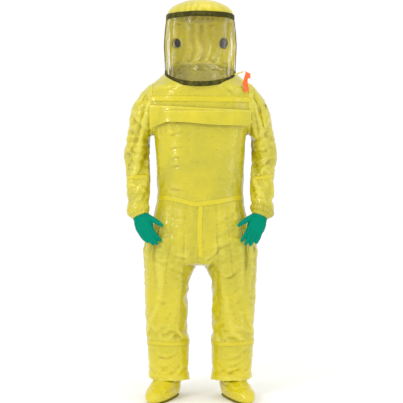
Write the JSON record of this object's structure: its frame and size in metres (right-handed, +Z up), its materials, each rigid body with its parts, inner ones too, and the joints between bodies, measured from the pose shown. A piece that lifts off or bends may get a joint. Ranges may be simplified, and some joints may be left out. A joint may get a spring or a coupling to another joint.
{
  "type": "chemical protective suit",
  "caption": "Fully enclosing one-piece coated-fabric suit with clear wrap-around visor hood, storm flap over a chest zip, sealed gloves and booties, standing as worn.",
  "frame": {"origin": "on the floor, under the middle of the suit's box", "axes": "+Z up, -Y the way the visor faces, +X to the wearer's left"},
  "size_m": [0.764, 0.3638, 1.934],
  "materials": {
    "fabric": "coated, crinkled, semi-gloss",
    "tape": "heat-sealed seam tape, glossy",
    "visor": "clear flexible film",
    "binding": "dark olive woven binding tape",
    "glove": "green rubber, satin",
    "orange": "coated ribbon",
    "black": "moulded",
    "grey": "moulded",
    "membrane": "silicone",
    "zip": "moulded zip",
    "sole": "doubled coated fabric"
  },
  "bodies": {
    "suit": {"torso_front": "fabric", "torso_back": "fabric", "chest_front": "fabric", "yoke_front": "fabric", "yoke_back": "fabric", "hood_crown": "fabric", "hood_back": "fabric", "trouser_front_left": "fabric", "trouser_front_right": "fabric", "trouser_back_left": "fabric", "trouser_back_right": "fabric", "chest_seam_tape": "tape", "waist_tape": "tape", "centre_front_tape": "tape", "visor": "visor", "visor_top_binding": "binding", "visor_bottom_binding": "binding", "escape_strip_anchor": "orange", "air_inlet_nipple": "black", "air_inlet_nut": "black", "exhaust_valve_body_left": "black", "exhaust_valve_body_right": "black", "air_inlet_flange": "grey", "exhaust_valve_cap_left": "grey", "exhaust_valve_cap_right": "grey", "zip_tape_upper": "zip", "zip_tape_lower": "zip", "zip_teeth": "zip", "zip_stop_left": "zip", "zip_stop_right": "zip"},
    "storm_flap": {"storm_flap": "fabric"},
    "zip_slider": {"zip_slider": "zip"},
    "zip_pull": {"zip_pull": "orange"},
    "escape_strip": {"escape_strip": "orange"},
    "valve_membrane_left": {"exhaust_valve_membrane_left": "membrane"},
    "upper_arm_left": {"upper_sleeve_left": "fabric"},
    "forearm_left": {"lower_sleeve_left": "fabric", "forearm_tape_left": "tape", "cuff_left": "fabric", "glove_left": "glove"},
    "lower_leg_left": {"shin_front_left": "fabric", "shin_back_left": "fabric", "shin_tape_left": "tape", "boot_flap_hem_left": "fabric", "bootie_left": "fabric", "sole_left": "sole"},
    "valve_membrane_right": {"exhaust_valve_membrane_right": "membrane"},
    "upper_arm_right": {"upper_sleeve_right": "fabric"},
    "forearm_right": {"lower_sleeve_right": "fabric", "forearm_tape_right": "tape", "cuff_right": "fabric", "glove_right": "glove"},
    "lower_leg_right": {"shin_front_right": "fabric", "shin_back_right": "fabric", "shin_tape_right": "tape", "boot_flap_hem_right": "fabric", "bootie_right": "fabric", "sole_right": "sole"}
  },
  "joints": [
    {"name": "storm_flap_hinge", "type": "hinge", "parent": "suit", "child": "storm_flap", "pos_m": [0, -0.1271, 1.431], "axis": [-1, 0, 0], "range_deg": [0, 100]},
    {"name": "zip_travel", "type": "hinge", "parent": "suit", "child": "zip_slider", "pos_m": [0, 0.8764, 1.385], "axis": [0, 0, -1], "range_deg": [0, 19.4]},
    {"name": "zip_pull_swing", "type": "hinge", "parent": "zip_slider", "child": "zip_pull", "pos_m": [0.1709, -0.1193, 1.385], "axis": [0.1692, -0.9856, 0], "range_deg": [-60, 60]},
    {"name": "escape_strip_swing", "type": "hinge", "parent": "suit", "child": "escape_strip", "pos_m": [0.2, -0.0721, 1.578], "axis": [-1, 0, 0], "range_deg": [0, 100]},
    {"name": "exhaust_valve_left", "type": "slide", "parent": "suit", "child": "valve_membrane_left", "axis": [0.6913, 0.7225, 0], "range_m": [0, 0.003], "stiffness_N_per_m": 15},
    {"name": "shoulder_left", "type": "hinge", "parent": "suit", "child": "upper_arm_left", "pos_m": [0.2435, 0.0159, 1.4], "axis": [-1, 0, 0], "range_deg": [0, 90]},
    {"name": "elbow_left", "type": "hinge", "parent": "upper_arm_left", "child": "forearm_left", "pos_m": [0.316, 0.0509, 1.187], "axis": [-1, 0, 0], "range_deg": [0, 80]},
    {"name": "knee_left", "type": "hinge", "parent": "suit", "child": "lower_leg_left", "pos_m": [0.166, 0.0159, 0.5], "axis": [1, 0, 0], "range_deg": [0, 75]},
    {"name": "exhaust_valve_right", "type": "slide", "parent": "suit", "child": "valve_membrane_right", "axis": [-0.6913, 0.7225, 0], "range_m": [0, 0.003], "stiffness_N_per_m": 15},
    {"name": "shoulder_right", "type": "hinge", "parent": "suit", "child": "upper_arm_right", "pos_m": [-0.2435, 0.0159, 1.4], "axis": [-1, 0, 0], "range_deg": [0, 90]},
    {"name": "elbow_right", "type": "hinge", "parent": "upper_arm_right", "child": "forearm_right", "pos_m": [-0.316, 0.0509, 1.187], "axis": [-1, 0, 0], "range_deg": [0, 80]},
    {"name": "knee_right", "type": "hinge", "parent": "suit", "child": "lower_leg_right", "pos_m": [-0.166, 0.0159, 0.5], "axis": [1, 0, 0], "range_deg": [0, 75]}
  ]
}
